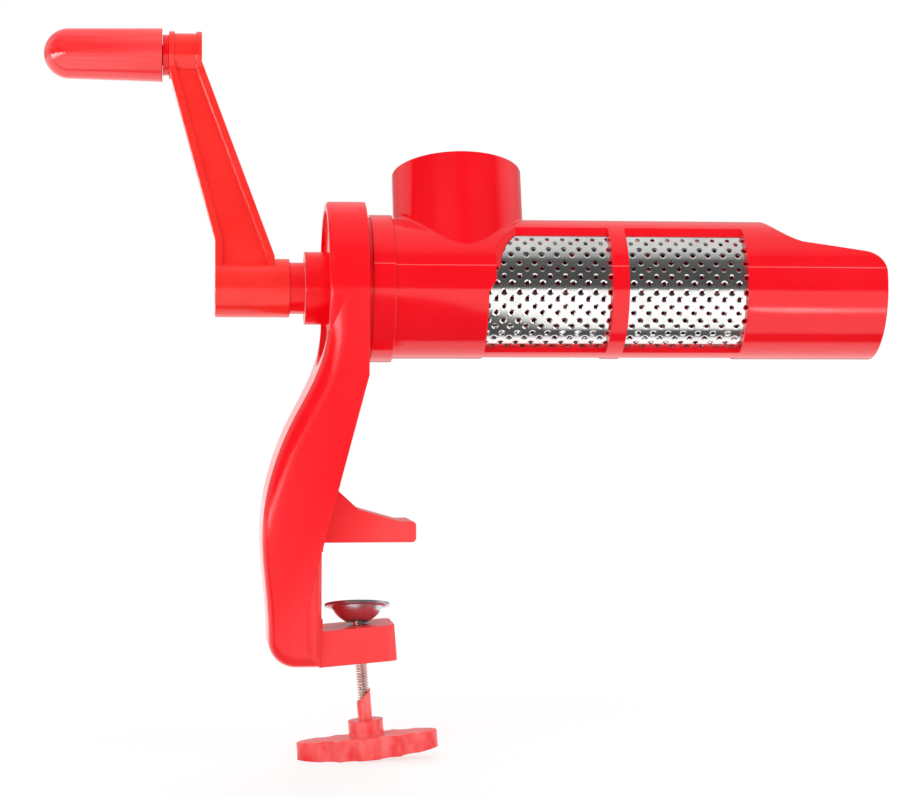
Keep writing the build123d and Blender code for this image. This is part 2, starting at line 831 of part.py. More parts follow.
# Knob: lobed oval moulded on the screw, with a hub and a thin sleeve up the shank
knob_deck = knob_top - knob_hub_height
with BuildPart() as clamp_knob:
    with BuildSketch(screw_plane.offset(knob_deck)) as knob_plan:
        Ellipse(knob_half_length, knob_half_width)
        for place in knob_notch_places:
            edge = knob_half_width * (1 - (place / knob_half_length) ** 2) ** 0.5
            centre = edge + knob_notch_radius - knob_notch_depth
            with Locations((place, centre), (-place, centre), (place, -centre), (-place, -centre)):
                Circle(knob_notch_radius, mode=Mode.SUBTRACT)
        fillet(knob_plan.vertices(), knob_lobe_radius)
    extrude(amount=-knob_thickness - knob_crown)
    fillet(clamp_knob.edges().group_by(screw_axis)[-1], knob_edge_radius)
    # Crowned underside
    with BuildSketch(screw_section) as knob_side:
        low = knob_deck - knob_thickness
        with BuildLine():
            ThreePointArc((-knob_half_length, low), (0, low - knob_crown), (knob_half_length, low))
            Polyline(
                (knob_half_length, low),
                (knob_half_length, knob_deck),
                (-knob_half_length, knob_deck),
                (-knob_half_length, low),
            )
        make_face()
    extrude(amount=knob_half_width, both=True, mode=Mode.INTERSECT)
    with BuildSketch(screw_plane.offset(knob_deck)):
        Circle(knob_hub_radius)
    extrude(amount=knob_hub_height)
    with BuildSketch(screw_plane.offset(knob_top)):
        Circle(knob_sleeve_radius)
    extrude(amount=knob_sleeve_height)
    with BuildSketch(screw_section) as sleeve_slant:
        slant = 2 * knob_sleeve_radius * tan(radians(knob_sleeve_slope))
        crest = knob_top + knob_sleeve_height
        with BuildLine():
            Polyline(
                (knob_sleeve_radius, crest),
                (-knob_sleeve_radius, crest - slant),
                (-knob_sleeve_radius, crest),
                close=True,
            )
        make_face()
    extrude(amount=knob_hub_radius, both=True, mode=Mode.SUBTRACT)
    with BuildSketch(screw_plane.offset(screw_bottom)):
        Circle(screw_radius + running_clearance)
    extrude(amount=knob_hub_drop + knob_socket_depth, mode=Mode.SUBTRACT)
clamp_knob.part.label = "clamp_knob"
export_step(clamp_knob.part, "parts/clamp_knob.step")
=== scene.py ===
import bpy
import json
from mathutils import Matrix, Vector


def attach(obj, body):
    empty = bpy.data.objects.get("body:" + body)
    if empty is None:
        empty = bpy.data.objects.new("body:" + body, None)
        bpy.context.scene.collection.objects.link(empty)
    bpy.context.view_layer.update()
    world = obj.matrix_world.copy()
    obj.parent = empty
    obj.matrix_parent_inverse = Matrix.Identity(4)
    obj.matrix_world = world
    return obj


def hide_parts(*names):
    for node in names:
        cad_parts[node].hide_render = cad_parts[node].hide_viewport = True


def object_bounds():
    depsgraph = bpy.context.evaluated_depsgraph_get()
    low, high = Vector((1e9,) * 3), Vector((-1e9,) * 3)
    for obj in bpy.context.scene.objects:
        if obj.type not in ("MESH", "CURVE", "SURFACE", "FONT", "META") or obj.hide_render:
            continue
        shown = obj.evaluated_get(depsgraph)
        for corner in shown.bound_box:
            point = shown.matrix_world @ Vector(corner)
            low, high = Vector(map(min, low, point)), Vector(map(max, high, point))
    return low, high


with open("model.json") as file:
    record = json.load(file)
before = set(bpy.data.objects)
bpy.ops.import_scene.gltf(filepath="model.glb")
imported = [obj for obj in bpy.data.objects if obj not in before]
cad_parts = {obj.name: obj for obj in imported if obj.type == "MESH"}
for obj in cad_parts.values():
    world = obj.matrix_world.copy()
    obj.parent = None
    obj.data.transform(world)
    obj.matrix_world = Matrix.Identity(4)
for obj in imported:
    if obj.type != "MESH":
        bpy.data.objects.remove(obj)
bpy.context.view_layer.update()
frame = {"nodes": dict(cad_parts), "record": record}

import json
from math import cos, pi, radians, sin, tan

import bmesh
import bpy
from mathutils import Vector
from mathutils.geometry import delaunay_2d_cdt

scene = bpy.context.scene
nodes = frame["nodes"]

# Sizes shared with the solids, in metres
AXIS_Z = 0.1202
BARREL_RADIUS = 0.0334
COLLAR_RADIUS = 0.0352
THROAT_X = 0.0449
THROAT_BORE = 0.0286
LEAN = radians(17.0)
UP = Vector((0, sin(LEAN), cos(LEAN)))
FAR = Vector((0, cos(LEAN), -sin(LEAN)))
SCREW_LEAN = radians(4.7)
SCREW_UP = Vector((-sin(SCREW_LEAN), 0, cos(SCREW_LEAN)))
SCREW_SIDE = Vector((cos(SCREW_LEAN), 0, sin(SCREW_LEAN)))
SCREW_ORIGIN = Vector((-0.0044, 0, -0.0402))


def barrel_point(x, angle, radius):
    """A point at an angle round the barrel's axis, from its far side towards its throat."""
    return Vector((x, 0, AXIS_Z)) + FAR * (radius * cos(angle)) + UP * (radius * sin(angle))


# Node trees
class Graph:
    """A node tree, with short calls for the nodes used here."""

    def __init__(self, tree):
        self.tree = tree

    def add(self, kind, **settings):
        node = self.tree.nodes.new(kind)
        for key, value in settings.items():
            setattr(node, key, value)
        return node

    def link(self, source, target):
        self.tree.links.new(source, target)

    def feed(self, socket, value):
        """Link another node's output to a socket, or set the socket to a constant."""
        if hasattr(value, "links"):
            self.link(value, socket)
        else:
            socket.default_value = value

    def coordinates(self, name):
        return self.add("ShaderNodeTexCoord").outputs[name]

    def split(self, vector):
        node = self.add("ShaderNodeSeparateXYZ")
        self.link(vector, node.inputs[0])
        return node.outputs

    def dot(self, vector, direction):
        node = self.add("ShaderNodeVectorMath", operation="DOT_PRODUCT")
        self.link(vector, node.inputs[0])
        node.inputs[1].default_value = direction
        return node.outputs["Value"]

    def length(self, vector):
        node = self.add("ShaderNodeVectorMath", operation="LENGTH")
        self.link(vector, node.inputs[0])
        return node.outputs["Value"]

    def math(self, operation, *values):
        node = self.add("ShaderNodeMath", operation=operation)
        for socket, value in zip(node.inputs, values):
            self.feed(socket, value)
        return node.outputs[0]

    def even(self, source, span, low=0.0, high=1.0, shape="LINEAR"):
        """A value's change over a span, turned into an even change from low to high."""
        node = self.add("ShaderNodeMapRange", interpolation_type=shape)
        names = ("Value", "From Min", "From Max", "To Min", "To Max")
        for name, value in zip(names, (source, *span, low, high)):
            self.feed(node.inputs[name], value)
        return node.outputs["Result"]

    def eased(self, source, span, low=0.0, high=1.0):
        """As even, with a soft start and end."""
        return self.even(source, span, low, high, "SMOOTHSTEP")

    def ramp(self, source, stops, interpolation="LINEAR"):
        node = self.add("ShaderNodeValToRGB")
        node.color_ramp.interpolation = interpolation
        elements = node.color_ramp.elements
        for index, (position, colour) in enumerate(stops):
            if index < len(elements):
                stop = elements[index]
                stop.position = position
            else:
                stop = elements.new(position)
            stop.color = (*colour, 1.0)
        self.link(source, node.inputs["Fac"])
        return node.outputs["Color"]

    def mix(self, share, first, second):
        node = self.add("ShaderNodeMixShader")
        self.link(share, node.inputs["Fac"])
        self.link(first, node.inputs[1])
        self.link(second, node.inputs[2])
        return node.outputs[0]


def grey(value):
    return (value, value, value)


# Materials
CLOUD_DEEP = 0.3
CLOUD_LIGHT = 0.7
BEVEL_SAMPLES = 6


class Finish(Graph):
    """A material, with the noise, bumps and softened edges that the finishes share."""

    def __init__(self, name):
        self.material = bpy.data.materials.new(name)
        self.material.use_nodes = True
        super().__init__(self.material.node_tree)
        self.shader = self.tree.nodes["Principled BSDF"]
        self.place = self.coordinates("Object")

    def put(self, socket, value):
        self.feed(self.shader.inputs[socket], value)

    def noise(self, scale, detail=3.0, stretch=(1, 1, 1)):
        mapping = self.add("ShaderNodeMapping")
        mapping.inputs["Scale"].default_value = stretch
        self.link(self.place, mapping.inputs["Vector"])
        texture = self.add("ShaderNodeTexNoise")
        texture.inputs["Scale"].default_value = scale
        texture.inputs["Detail"].default_value = detail
        self.link(mapping.outputs["Vector"], texture.inputs["Vector"])
        return texture.outputs["Fac"]

    def clouds(self, tones, scale, detail=3.0, stretch=(1, 1, 1)):
        """A deep and a light tone that drift into each other."""
        deep, light = tones
        stops = ((CLOUD_DEEP, deep), (CLOUD_LIGHT, light))
        return self.ramp(self.noise(scale, detail, stretch), stops)

    def spread(self, source, low, high):
        return self.even(source, (0.0, 1.0), low, high)

    def bump(self, source, strength, distance, under):
        node = self.add("ShaderNodeBump")
        node.inputs["Strength"].default_value = strength
        node.inputs["Distance"].default_value = distance
        self.link(source, node.inputs["Height"])
        self.link(under, node.inputs["Normal"])
        return node.outputs["Normal"]

    def rounded(self, radius):
        node = self.add("ShaderNodeBevel", samples=BEVEL_SAMPLES)
        node.inputs["Radius"].default_value = radius
        return node.outputs["Normal"]


# Sockets of the colour mix node: its two colours and its result
MIX_COLOURS = (6, 7)
MIX_RESULT = 2
# Moulded plastic: scales of its noise, and heights of its bumps in metres
FLOW_SCALE = 38.0
FLOW_DETAIL = 4.0
GLOSS_SCALE = 90.0
SMOOTHER = 0.05
ROUGHER = 0.06
SKIN_SCALE = 1500.0
SKIN_DETAIL = 2.0
SKIN_STRENGTH = 0.05
SKIN_HEIGHT = 0.0001
WAVE_SCALE = 70.0
WAVE_DETAIL = 1.0
WAVE_STRENGTH = 0.08
WAVE_HEIGHT = 0.0006
PLASTIC_INDEX = 1.5


def plastic_gloss(finish, rough, edge, index):
    """The gloss of moulded plastic: a little uneven, with a fine skin, slow waves and softened edges."""
    finish.put("Roughness", finish.spread(finish.noise(GLOSS_SCALE), rough - SMOOTHER, rough + ROUGHER))
    finish.put("IOR", index)
    skin = finish.noise(SKIN_SCALE, SKIN_DETAIL)
    fine = finish.bump(skin, SKIN_STRENGTH, SKIN_HEIGHT, finish.rounded(edge))
    waves = finish.noise(WAVE_SCALE, WAVE_DETAIL)
    finish.put("Normal", finish.bump(waves, WAVE_STRENGTH, WAVE_HEIGHT, fine))


def moulded_plastic(name, tones, rough, edge, flow=FLOW_SCALE, stretch=(1, 1, 1)):
    """Glossy moulded plastic with faint flow clouds."""
    finish = Finish(name)
    finish.put("Base Color", finish.clouds(tones, flow, FLOW_DETAIL, stretch))
    plastic_gloss(finish, rough, edge, PLASTIC_INDEX)
    return finish.material


def two_tone_plastic(name, first, second, direction, span, rough, edge, index):
    """Moulded plastic whose colour goes from one tone to another along a direction of the frame."""
    finish = Finish(name)
    tint = finish.add("ShaderNodeMix", data_type="RGBA")
    finish.link(finish.even(finish.dot(finish.place, direction), span), tint.inputs["Factor"])
    for socket, tones in zip(MIX_COLOURS, (first, second)):
        finish.link(finish.clouds(tones, FLOW_SCALE, FLOW_DETAIL), tint.inputs[socket])
    finish.put("Base Color", tint.outputs[MIX_RESULT])
    plastic_gloss(finish, rough, edge, index)
    return finish.material


# Steel: the scale of its tarnish, the height of its grain and the range of its roughness
TARNISH_SCALE = 120.0
GRAIN_HEIGHT = 0.0001
BRIGHTEST = 0.7
DULLEST = 1.4


def bright_steel(name, tones, rough, edge, stretch=(1, 1, 1), grain=0.04, fine=900.0):
    """Bright steel with a drawn grain, slightly uneven in tone and gloss."""
    finish = Finish(name)
    lines = finish.noise(fine, stretch=stretch)
    finish.put("Base Color", finish.clouds(tones, TARNISH_SCALE))
    finish.put("Metallic", 1.0)
    finish.put("Roughness", finish.spread(lines, rough * BRIGHTEST, rough * DULLEST))
    finish.put("Normal", finish.bump(lines, grain, GRAIN_HEIGHT, finish.rounded(edge)))
    return finish.material


# Nylon and rubber: scales of their noise, and the range of their roughness
DULL_CLOUDS = 150.0
DULL_GLOSS = 400.0
DULL_SKIN = 1200.0
DULL_RANGE = 0.08
DULL_BUMP = 0.1


def dull_part(name, tones, rough, edge):
    """Plain nylon or rubber with a fine matt skin."""
    finish = Finish(name)
    finish.put("Base Color", finish.clouds(tones, DULL_CLOUDS, FLOW_DETAIL))
    gloss = finish.spread(finish.noise(DULL_GLOSS), rough - DULL_RANGE, rough + DULL_RANGE)
    finish.put("Roughness", gloss)
    skin = finish.noise(DULL_SKIN)
    finish.put("Normal", finish.bump(skin, DULL_BUMP, SKIN_HEIGHT, finish.rounded(edge)))
    return finish.material


RED_TONES = ((0.9, 0.0015, 0.008), (0.96, 0.003, 0.011))
# A paler red, painted light on the stand's jaws
PAINTED_LIGHT_TONES = ((0.9, 0.044, 0.046), (0.96, 0.06, 0.062))
# A darker red, painted shade on the auger inside the barrel
INSIDE_SHADE_TONES = ((0.32, 0.004, 0.01), (0.42, 0.006, 0.013))

# One finish for each material slot of the solids
finishes = {
    "red_plastic": moulded_plastic(
        "red_plastic", ((0.84, 0.0015, 0.009), (0.9, 0.003, 0.012)), rough=0.12, edge=0.0007
    ),
    # Pale streaks along X in this red are a painted sheen over the real deep red
    "soft_red_plastic": moulded_plastic(
        "soft_red_plastic",
        ((0.89, 0.014, 0.02), (0.98, 0.092, 0.092)),
        rough=0.12,
        edge=0.0009,
        flow=230.0,
        stretch=(0.05, 1, 1),
    ),
    # The auger turns to the darker red inside the barrel: painted shade
    "auger_plastic": two_tone_plastic(
        "auger_plastic",
        RED_TONES,
        INSIDE_SHADE_TONES,
        direction=(1, 0, 0),
        span=(-0.02, -0.012),
        rough=0.2,
        edge=0.0007,
        index=PLASTIC_INDEX,
    ),
    "strainer_steel": bright_steel(
        "strainer_steel",
        ((0.72, 0.72, 0.71), (0.86, 0.86, 0.85)),
        rough=0.13,
        edge=0.0001,
        stretch=(0.08, 1, 1),
    ),
    "pad_steel": bright_steel(
        "pad_steel",
        ((0.55, 0.57, 0.64), (0.7, 0.72, 0.78)),
        rough=0.32,
        edge=0.0003,
        grain=0.01,
        fine=60.0,
    ),
    "screw_steel": bright_steel(
        "screw_steel", ((0.78, 0.74, 0.68), (0.94, 0.9, 0.85)), rough=0.3, edge=0.00005, stretch=(1, 1, 4)
    ),
    "zinc_steel": bright_steel(
        "zinc_steel", ((0.55, 0.55, 0.54), (0.7, 0.7, 0.69)), rough=0.25, edge=0.0002
    ),
    "insert_brass": bright_steel(
        "insert_brass", ((0.62, 0.45, 0.18), (0.78, 0.6, 0.28)), rough=0.22, edge=0.0002
    ),
    "nylon": dull_part("nylon", ((0.8, 0.79, 0.75), (0.88, 0.87, 0.84)), rough=0.45, edge=0.0003),
    "seal_rubber": dull_part("seal_rubber", (grey(0.02), grey(0.045)), rough=0.6, edge=0.0003),
}

# Pieces whose plastic differs a little from the rest of their slot, partly by painted light on the stand
# and the knob
own_finishes = {
    # The stand turns paler towards its front and its foot, over the jaws: painted light
    "stand": two_tone_plastic(
        "stand_plastic",
        RED_TONES,
        PAINTED_LIGHT_TONES,
        direction=(1, 0, -0.5),
        span=(-0.03, 0.01),
        rough=0.2,
        edge=0.0007,
        index=1.4,
    ),
    "crank_arm": moulded_plastic(
        "crank_plastic", ((0.9, 0.02, 0.016), (0.97, 0.032, 0.024)), rough=0.16, edge=0.0007
    ),
    # The knob's pale pink tone is a painted sheen
    "clamp_knob": moulded_plastic(
        "knob_plastic",
        ((0.88, 0.03, 0.035), (0.98, 0.17, 0.165)),
        rough=0.13,
        edge=0.0009,
        flow=150.0,
        stretch=(1, 1, 0.6),
    ),
}
# A paler red for the parting lines: a painted highlight
seam_highlight_red = moulded_plastic(
    "seam_plastic", ((0.95, 0.07, 0.08), (1.0, 0.15, 0.16)), rough=0.2, edge=0.0001
)

node_slots = {part["node"]: part["material_slot"] for part in frame["record"]["subparts"]}
for name, node in nodes.items():
    for place in node.material_slots:
        place.material = own_finishes.get(name, finishes[node_slots[name]])


def make_piece(name, mesh, body, slot, sharp_angle=35.0, finish=None):
    """A new piece of the given finish that moves with a body."""
    mesh.materials.append(finish or finishes[slot])
    for face in mesh.polygons:
        face.use_smooth = True
    mesh.set_sharp_from_angle(angle=radians(sharp_angle))
    piece = bpy.data.objects.new(name, mesh)
    scene.collection.objects.link(piece)
    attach(piece, body)
    return piece


def finish_mesh(name, bm):
    mesh = bpy.data.meshes.new(name)
    bm.to_mesh(mesh)
    bm.free()
    return mesh


# Strainer: a rolled sheet with dimpled holes in staggered rows, two holes to a cell
SHEET_RADIUS = 0.03055
SHEET = 0.0006
SHEET_START = 0.048
SHEET_END = 0.18635
PAIRS = 27
CELL_ARC = 2 * pi * SHEET_RADIUS / PAIRS
CELL_LENGTH = 0.00725
FIRST_CELL = 0.0532
PATTERN_TURN = 0.09
ROW_STEP = 0.00303
HOLE = 0.00104
DIMPLE = 0.00172
DIMPLE_DEPTH = 0.0002
SHOULDER = 0.54
# Its mesh: edges in degrees, points round a hole, steps along a cell and across plain patches
DIMPLE_EDGE = 14.0
RING = 12
BORDER_ARC = 4
BORDER_LENGTH = 2
PLAIN_ARC = BORDER_ARC * 2
PLAIN_START = 4
PLAIN_END = 2
PLAIN_CELL = 8
THROAT_MARGIN = 0.0005
WELD = 2e-6
SAME_POINT = 1e-9


def ring_points(centre, radius):
    along, around = centre
    turns = [2 * pi * i / RING for i in range(RING)]
    return [(along + radius * cos(turn), around + radius * sin(turn)) for turn in turns]


def cell_tile():
    """One repeat of the sheet, as points (along, around, sunk) and faces."""
    first_row = (CELL_ARC - ROW_STEP) / 2
    centres = ((CELL_LENGTH / 4, first_row), (CELL_LENGTH * 3 / 4, first_row + ROW_STEP))
    points = [(CELL_LENGTH * i / BORDER_LENGTH, 0.0) for i in range(BORDER_LENGTH)]
    points += [(CELL_LENGTH, CELL_ARC * i / BORDER_ARC) for i in range(BORDER_ARC)]
    points += [(CELL_LENGTH * (1 - i / BORDER_LENGTH), CELL_ARC) for i in range(BORDER_LENGTH)]
    points += [(0.0, CELL_ARC * (1 - i / BORDER_ARC)) for i in range(BORDER_ARC)]
    loops = [list(range(len(points)))]
    for centre in centres:
        loops.append(list(range(len(points), len(points) + RING)))
        points += ring_points(centre, DIMPLE)
    edges = [(loop[i], loop[(i + 1) % len(loop)]) for loop in loops for i in range(len(loop))]
    flat = delaunay_2d_cdt([Vector(point) for point in points], edges, [], 0, SAME_POINT)
    spots = [(point.x, point.y, 0.0) for point in flat[0]]
    faces = []
    for face in flat[2]:
        middle = sum((flat[0][i] for i in face), Vector((0, 0))) / len(face)
        if all((middle - Vector(centre)).length > DIMPLE * cos(pi / RING) for centre in centres):
            faces.append(tuple(face))
    profile = (
        (DIMPLE, 0.0),
        ((DIMPLE + HOLE) / 2, DIMPLE_DEPTH * SHOULDER),
        (HOLE, DIMPLE_DEPTH),
        (HOLE, SHEET),
    )
    for centre in centres:
        rings = []
        for radius, sunk in profile:
            rings.append(list(range(len(spots), len(spots) + RING)))
            spots += [(*point, sunk) for point in ring_points(centre, radius)]
        for outer, inner in zip(rings, rings[1:]):
            for i in range(RING):
                j = (i + 1) % RING
                faces.append((outer[i], outer[j], inner[j], inner[i]))
    return spots, faces


def sheet_angle(around):
    return pi / 2 + around / SHEET_RADIUS


def sheet_point(along, around, sunk):
    return barrel_point(along, sheet_angle(around), SHEET_RADIUS - sunk)


def in_throat(along, around, reach):
    across = SHEET_RADIUS * cos(sheet_angle(around))
    inside = (along - THROAT_X) ** 2 + across**2 < (THROAT_BORE + reach) ** 2
    return inside and sin(sheet_angle(around)) > 0


def throat_edge(along, around):
    """The point itself, or in the throat's bore the point on its edge."""
    if in_throat(along, around, 0.0):
        across = SHEET_RADIUS * cos(sheet_angle(around))
        along = THROAT_X + max(THROAT_BORE**2 - across**2, 0.0) ** 0.5
    return sheet_point(along, around, 0.0)


def grow_plain(bm, start, end, count, arc):
    """A patch of sheet without holes, its edge drawn to the throat's bore."""
    spots = {}
    for i in range(count + 1):
        for j in range(PLAIN_ARC + 1):
            spots[i, j] = (start + (end - start) * i / count, arc + CELL_ARC * j / PLAIN_ARC)
    for i in range(count):
        for j in range(PLAIN_ARC):
            ring = [spots[i, j], spots[i + 1, j], spots[i + 1, j + 1], spots[i, j + 1]]
            if not all(in_throat(*spot, 0.0) for spot in ring):
                bm.faces.new([bm.verts.new(throat_edge(*spot)) for spot in ring])


def strainer_mesh(name):
    bm = bmesh.new()
    tile_points, tile_faces = cell_tile()
    columns = int((SHEET_END - FIRST_CELL) / CELL_LENGTH)
    last = FIRST_CELL + columns * CELL_LENGTH
    for pair in range(PAIRS):
        arc = CELL_ARC * (pair + PATTERN_TURN)
        grow_plain(bm, SHEET_START, FIRST_CELL, PLAIN_START, arc)
        grow_plain(bm, last, SHEET_END, PLAIN_END, arc)
        for column in range(columns):
            start = FIRST_CELL + column * CELL_LENGTH
            spots = [(start + a, arc + b) for a in (0, CELL_LENGTH) for b in (0, CELL_ARC / 2, CELL_ARC)]
            if any(in_throat(*spot, THROAT_MARGIN) for spot in spots):
                grow_plain(bm, start, start + CELL_LENGTH, PLAIN_CELL, arc)
                continue
            verts = [bm.verts.new(sheet_point(start + a, arc + b, sunk)) for a, b, sunk in tile_points]
            for face in tile_faces:
                bm.faces.new([verts[i] for i in face])
    bmesh.ops.remove_doubles(bm, verts=bm.verts, dist=WELD)
    bmesh.ops.recalc_face_normals(bm, faces=bm.faces)
    return finish_mesh(name, bm)


strainer = make_piece(
    "strainer_sheet", strainer_mesh("strainer_sheet"), "barrel", "strainer_steel", DIMPLE_EDGE
)
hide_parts("strainer")

# Clamp screw: thread, neck through the pad and riveted head
THREAD_PITCH = 0.00125
CREST = 0.00295
ROOT = 0.00222
FLANK = 2.6
CREST_CUT = 0.82
NECK = 0.0021
HEAD_FLARE = 0.0019
HEAD_HEIGHT = 0.0016
PAD_LIFT = 0.0012
PAD_SHEET = 0.0012
PAD_FLOOR = 0.005
PAD_PLAY = 0.0003
PAD_SWIVEL = radians(12.0)
PAD_TILT = PAD_FLOOR * tan(PAD_SWIVEL)
NECK_START = PAD_LIFT - PAD_PLAY - PAD_TILT
HEAD_START = PAD_LIFT + PAD_SHEET + PAD_PLAY + PAD_TILT
THREAD_RUNOUT = 0.0003
THREAD_END = NECK_START - THREAD_RUNOUT
SCREW_BOTTOM = -0.0581
# Its mesh: sides, rows of points up its length, and edges in degrees
SCREW_SIDES = 20
ROWS_PER_TURN = 8
NECK_ROWS = (NECK_START + 0.0001, HEAD_START - 0.00005)
HEAD_ROWS = (0.02, 0.3, 0.5, 0.7, 0.85, 0.95, 1.0)
SCREW_EDGE = 60.0


def screw_radius(height, turn):
    """The screw's radius at a height on its axis and a turn round it."""
    if height > HEAD_START:
        rise = (height - HEAD_START) / HEAD_HEIGHT
        return NECK + HEAD_FLARE * max(1 - rise**3, 0.0) ** 0.5
    if height > THREAD_END:
        return NECK
    phase = (height / THREAD_PITCH - turn / (2 * pi)) % 1.0
    ridge = min(max(1.0 - abs(phase - 0.5) * FLANK, 0.0), CREST_CUT) / CREST_CUT
    return ROOT + (CREST - ROOT) * ridge


def screw_mesh(name):
    steps = int((THREAD_END - SCREW_BOTTOM) / THREAD_PITCH * ROWS_PER_TURN)
    rows = [SCREW_BOTTOM + (THREAD_END - SCREW_BOTTOM) * i / steps for i in range(steps + 1)]
    rows += NECK_ROWS
    rows += [HEAD_START + HEAD_HEIGHT * share for share in HEAD_ROWS]
    bm = bmesh.new()
    side = Vector((0, 1, 0))
    rings = []
    for height in rows:
        ring = []
        for i in range(SCREW_SIDES):
            turn = 2 * pi * i / SCREW_SIDES
            out = SCREW_SIDE * cos(turn) + side * sin(turn)
            spot = SCREW_ORIGIN + SCREW_UP * height + out * screw_radius(height, turn)
            ring.append(bm.verts.new(spot))
        rings.append(ring)
    for lower, upper in zip(rings, rings[1:]):
        for i in range(SCREW_SIDES):
            j = (i + 1) % SCREW_SIDES
            bm.faces.new((lower[i], lower[j], upper[j], upper[i]))
    bm.faces.new(list(reversed(rings[0])))
    bm.faces.new(rings[-1])
    return finish_mesh(name, bm)


screw = make_piece(
    "clamp_screw_thread", screw_mesh("clamp_screw_thread"), "screw", "screw_steel", SCREW_EDGE
)
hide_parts("clamp_screw")

# Parting lines of the mould, along both sides of the barrel, in a paler red that is a painted highlight
# on their ridge
SEAM_STEP = 0.004
SEAM_SECTION = ((-0.0003, -0.0001), (-0.00012, 0.00018), (0.00012, 0.00018), (0.0003, -0.0001))
SEAM_SPANS = (
    (0.0009, 0.0111, COLLAR_RADIUS),
    (0.0113, 0.0583, BARREL_RADIUS),
    (0.1135, 0.1213, BARREL_RADIUS),
    (0.1787, 0.2459, BARREL_RADIUS),
)


def parting_line(name, angle):
    """A thin raised line along the barrel, at an angle round its axis."""
    bm = bmesh.new()
    for start, end, radius in SEAM_SPANS:
        count = max(int((end - start) / SEAM_STEP), 2)
        rings = []
        for i in range(count + 1):
            along = start + (end - start) * i / count
            ring = []
            for offset, rise in SEAM_SECTION:
                ring.append(bm.verts.new(barrel_point(along, angle + offset / radius, radius + rise)))
            rings.append(ring)
        for one, two in zip(rings, rings[1:]):
            for i in range(len(one)):
                j = (i + 1) % len(one)
                bm.faces.new((one[i], one[j], two[j], two[i]))
        bm.faces.new(rings[0])
        bm.faces.new(rings[-1])
    bmesh.ops.recalc_face_normals(bm, faces=bm.faces)
    make_piece(name, finish_mesh(name, bm), "barrel", "red_plastic", finish=seam_highlight_red)


parting_line("parting_line_near", pi)
parting_line("parting_line_far", 0.0)

# Camera, level and square to the photograph's frame
CAMERA_TURN = radians(6.6)
LOOKING = Vector((sin(CAMERA_TURN), cos(CAMERA_TURN), 0))
AIM = Vector((0.0413, 0, 0.0677))
SENSOR = 36.0
PHOTO_WIDTH = 905.0
FOCAL_PIXELS = 2300.0
PIXEL = 0.00048

camera_data = bpy.data.cameras.new("camera")
camera_data.sensor_fit = "HORIZONTAL"
camera_data.sensor_width = SENSOR
camera_data.lens = SENSOR * FOCAL_PIXELS / PHOTO_WIDTH
camera_data.clip_end = 50.0
camera = bpy.data.objects.new("camera", camera_data)
camera.location = AIM - LOOKING * (FOCAL_PIXELS * PIXEL)
camera.rotation_euler = LOOKING.to_track_quat("-Z", "Y").to_euler()
scene.collection.objects.link(camera)
scene.camera = camera

# Floor: matt under the part, where the shadow falls, and white farther out
FLOOR_REACH = 6
SHADOW_SPAN = (0.12, 0.4)
SHADOW_WHITE = 0.72
SPECKLE_SCALE = 60.0
FLOOR_TONES = ((0.0, grey(0.93)), (1.0, grey(0.96)))
# In reflections, a dark strip under the part, a painted shadow, and a dark column in front of its middle
STRIP_FRONT = (-0.085, -0.055)
DARK_BACK = (0.0, 0.02)
COLUMN_LEFT = (-0.03, 0.02)
COLUMN_RIGHT = (0.093, 0.1)
COLUMN_SLANT = 0.089
COLUMN_WIDER = 0.0265
DARK_LEVEL = 0.06
# In reflections, dimmer far back, and brighter there at the left
FAR_BACK = (0.3, 0.7)
FAR_LEFT = (-0.12, -0.04)
NEAR_LEVEL = 1.3
FAR_LEVEL = 0.5
FAR_LEFT_LEVEL = 1.5
# In reflections, a bright pool far to the left and a short gleam in front of the chute
POOL_RIGHT = (-1.5, -0.9)
POOL_BACK = (-0.2, 0.2)
POOL_LEVEL = 11.0
GLEAM_FRONT = (-0.43, -0.345)
GLEAM_BACK = (-0.345, -0.27)
GLEAM_LEFT = (0.265, 0.285)
GLEAM_FADE = (0.29, 0.37)
GLEAM_LEVELS = (7.0, 3.0)


